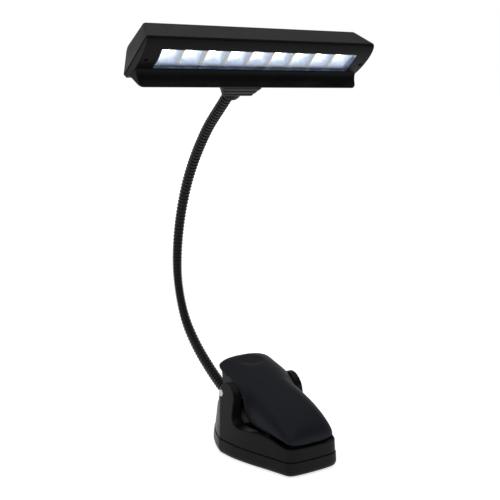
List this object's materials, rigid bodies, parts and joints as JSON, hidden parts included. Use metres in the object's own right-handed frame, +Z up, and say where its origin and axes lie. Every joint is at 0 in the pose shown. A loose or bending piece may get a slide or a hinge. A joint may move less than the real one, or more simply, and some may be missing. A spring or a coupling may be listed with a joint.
{
  "type": "clip-on reading lamp",
  "caption": "Battery clip-on reading lamp: a wide bar head with a row of diodes on a flexible ribbed neck, and a spring clip that is also its standing base.",
  "frame": {"origin": "on the standing surface, on the underside of the battery door's rubber pad, in the middle plane of the clip", "axes": "+X to the right along the hinge pin and the head, +Y away from the mouth of the jaws, +Z up"},
  "size_m": [0.1982, 0.2149, 0.3215],
  "materials": {
    "body_plastic": "satin black moulded plastic with a fine texture",
    "cover_plastic": "satin black moulded plastic",
    "lever_plastic": "smooth black plastic with a soft sheen",
    "block_plastic": "dark brownish grey moulded plastic",
    "neck_metal": "black flexible metal neck with fine ribs",
    "rubber": "soft black rubber",
    "steel": "bright zinc-plated steel",
    "clear_window": "clear acrylic, polished",
    "reflector": "white reflective moulding",
    "led": "clear white diode lens, lit",
    "circuit_board": "green solder resist",
    "cell": "printed metal can with no text",
    "wire": "red insulated wire"
  },
  "bodies": {
    "base": {"neck_link_0": "neck_metal", "base_upper": "body_plastic", "base_lower": "body_plastic", "battery_door": "body_plastic", "door_pad": "rubber", "front_foot": "rubber", "rear_foot": "rubber", "base_screw_1": "steel", "base_screw_2": "steel", "base_screw_3": "steel", "base_screw_4": "steel", "battery_1": "cell", "battery_spring_1": "steel", "battery_2": "cell", "battery_spring_2": "steel", "battery_3": "cell", "battery_spring_3": "steel", "contact_front": "steel", "contact_rear": "steel", "control_board": "circuit_board", "power_jack": "cover_plastic", "neck_socket": "cover_plastic", "hinge_pin": "steel", "clip_spring": "steel", "lower_pad": "rubber"},
    "neck_1": {"neck_link_1": "neck_metal"},
    "neck_2": {"neck_link_2": "neck_metal"},
    "neck_3": {"neck_link_3": "neck_metal"},
    "neck_4": {"neck_link_4": "neck_metal"},
    "neck_5": {"neck_link_5": "neck_metal"},
    "neck_6": {"neck_link_6": "neck_metal"},
    "neck_7": {"neck_link_7": "neck_metal"},
    "neck_8": {"neck_link_8": "neck_metal"},
    "head": {"head_housing": "body_plastic", "front_cover": "cover_plastic", "window_lens": "clear_window", "reflector_strip": "reflector", "led_1": "led", "led_2": "led", "led_3": "led", "led_4": "led", "led_5": "led", "led_6": "led", "led_7": "led", "led_8": "led", "led_9": "led", "led_board": "circuit_board", "cover_screw_left": "steel", "cover_screw_right": "steel", "neck_block": "block_plastic", "neck_collar": "cover_plastic", "head_lead": "wire", "neck_link_9": "neck_metal"},
    "lever": {"lever_cover": "lever_plastic", "lever_frame": "body_plastic", "lever_screw_1": "steel", "lever_screw_2": "steel", "upper_pad": "rubber"},
    "button": {"power_button": "rubber"}
  },
  "joints": [
    {"name": "neck_sway_1", "type": "hinge", "parent": "base", "child": "neck_1", "pos_m": [0, 0.05905, 0.03291], "axis": [0, -0.4212, 0.907], "range_deg": [-20, 20]},
    {"name": "neck_bend_1", "type": "hinge", "parent": "neck_1", "child": "neck_2", "pos_m": [0, 0.09186, 0.05197], "axis": [1, 0, 0], "range_deg": [-22, 12]},
    {"name": "neck_bend_2", "type": "hinge", "parent": "neck_2", "child": "neck_3", "pos_m": [0, 0.11817, 0.07897], "axis": [1, 0, 0], "range_deg": [-22, 12]},
    {"name": "neck_bend_3", "type": "hinge", "parent": "neck_3", "child": "neck_4", "pos_m": [0, 0.12935, 0.11497], "axis": [1, 0, 0], "range_deg": [-22, 12]},
    {"name": "neck_sway_2", "type": "hinge", "parent": "neck_4", "child": "neck_5", "pos_m": [0, 0.1257, 0.15264], "axis": [0, -0.9737, -0.228], "range_deg": [-20, 20]},
    {"name": "neck_bend_4", "type": "hinge", "parent": "neck_5", "child": "neck_6", "pos_m": [0, 0.11326, 0.18846], "axis": [1, 0, 0], "range_deg": [-22, 12]},
    {"name": "neck_bend_5", "type": "hinge", "parent": "neck_6", "child": "neck_7", "pos_m": [0, 0.09361, 0.22087], "axis": [1, 0, 0], "range_deg": [-22, 12]},
    {"name": "neck_sway_3", "type": "hinge", "parent": "neck_7", "child": "neck_8", "pos_m": [0, 0.06815, 0.24899], "axis": [0, -0.6546, -0.7559], "range_deg": [-20, 20]},
    {"name": "neck_bend_6", "type": "hinge", "parent": "neck_8", "child": "head", "pos_m": [0, 0.0386, 0.27284], "axis": [1, 0, 0], "range_deg": [-22, 12]},
    {"name": "lever_hinge", "type": "hinge", "parent": "base", "child": "lever", "pos_m": [0, -0.001, 0.0445], "axis": [-1, 0, 0], "range_deg": [0, 20], "stiffness_Nm_per_rad": 1.2, "springref_deg": -20.05, "deforming": ["clip_spring"]},
    {"name": "power_button_press", "type": "slide", "parent": "base", "child": "button", "axis": [0, -1, 0], "range_m": [0, 0.0012], "stiffness_N_per_m": 600}
  ]
}
